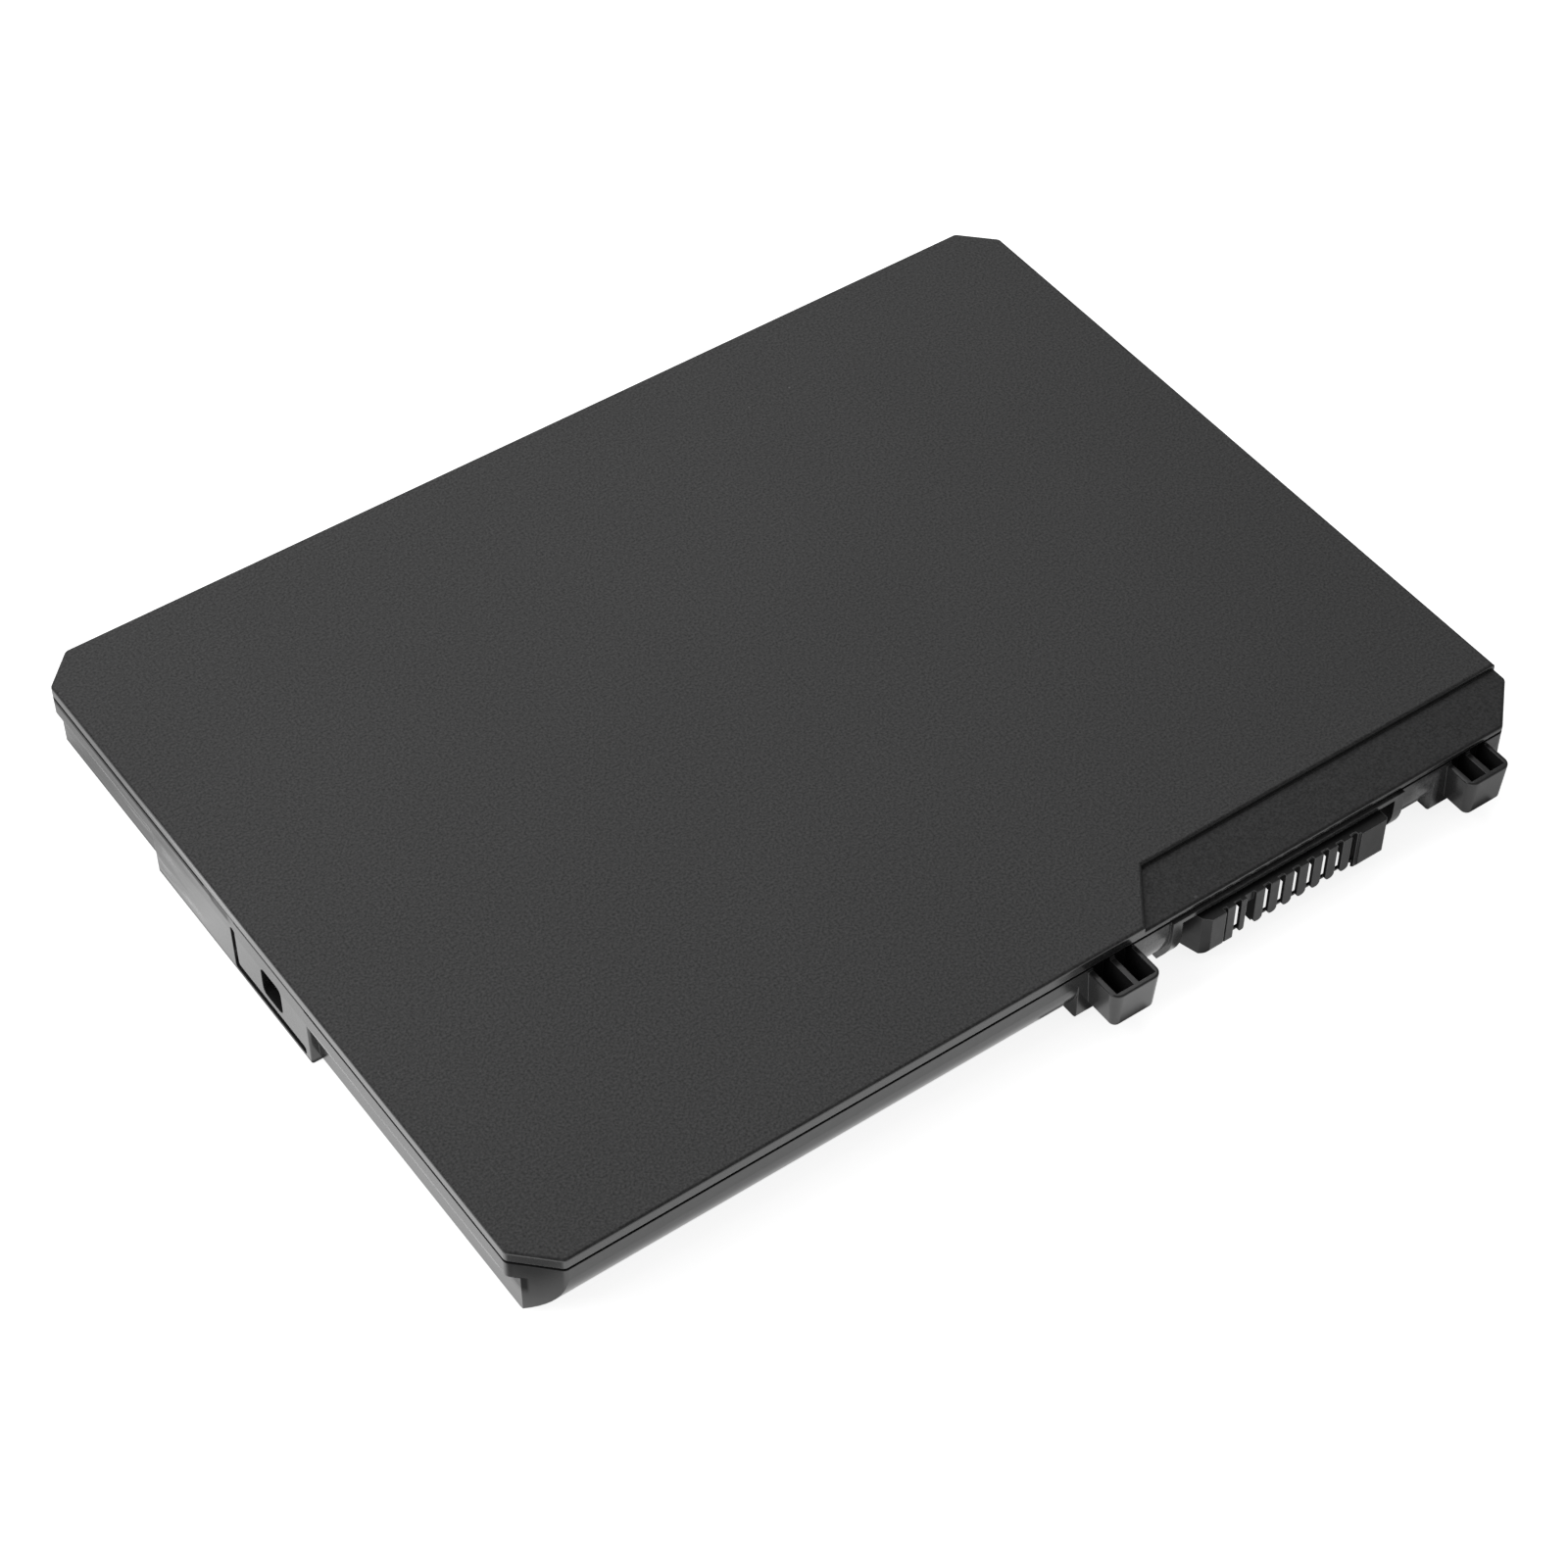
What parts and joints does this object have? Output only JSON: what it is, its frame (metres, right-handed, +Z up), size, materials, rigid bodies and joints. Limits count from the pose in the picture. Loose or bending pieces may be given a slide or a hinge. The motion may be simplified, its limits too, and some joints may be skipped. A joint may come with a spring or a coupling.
{
  "type": "laptop battery",
  "caption": "Slim flat rechargeable battery pack for a notebook bay, with a slotted comb connector between hollow guide lugs, side rails and a latch window.",
  "frame": {"origin": "middle of the part's box, on the flat underside that it rests on", "axes": "+X along the connector edge, +Y away from the connector, +Z up through the cover"},
  "size_m": [0.13, 0.1034, 0.01],
  "materials": {
    "cover_plastic": "fine grained dark charcoal",
    "shell_plastic": "satin dark charcoal",
    "connector_plastic": "smooth near black",
    "contact_metal": "plated spring metal",
    "cell_pouch": "laminated foil",
    "tab_aluminium": "rolled",
    "nickel": "rolled nickel",
    "board_laminate": "solder mask",
    "chip_resin": "moulded resin",
    "chip_ceramic": "ceramic with tinned ends",
    "adhesive_tape": "double-sided tape",
    "foam": "soft foam",
    "insulating_paper": "pressed insulating paper"
  },
  "bodies": {
    "root": {"bottom_shell": "shell_plastic", "cell_1": "cell_pouch", "cell_1_minus_tab": "nickel", "cell_1_plus_tab": "tab_aluminium", "cell_2": "cell_pouch", "cell_2_minus_tab": "nickel", "cell_2_plus_tab": "tab_aluminium", "cell_3": "cell_pouch", "cell_3_minus_tab": "nickel", "cell_3_plus_tab": "tab_aluminium", "chip_capacitors": "chip_ceramic", "circuit_board": "board_laminate", "connector_housing": "connector_plastic", "contact_1": "contact_metal", "contact_2": "contact_metal", "contact_3": "contact_metal", "contact_4": "contact_metal", "contact_5": "contact_metal", "contact_6": "contact_metal", "contact_7": "contact_metal", "contact_8": "contact_metal", "controller_chip": "chip_resin", "floor_tape": "adhesive_tape", "foam_pad_1": "foam", "foam_pad_2": "foam", "foam_pad_3": "foam", "fuse": "chip_ceramic", "insulating_sheet": "insulating_paper", "rear_foam": "foam", "shunt_resistor": "chip_ceramic", "switch_chip_1": "chip_resin", "switch_chip_2": "chip_resin", "thermistor": "chip_ceramic", "top_cover": "cover_plastic", "weld_plate_1": "nickel", "weld_plate_2": "nickel", "weld_plate_3": "nickel", "weld_plate_4": "nickel"}
  },
  "joints": []
}
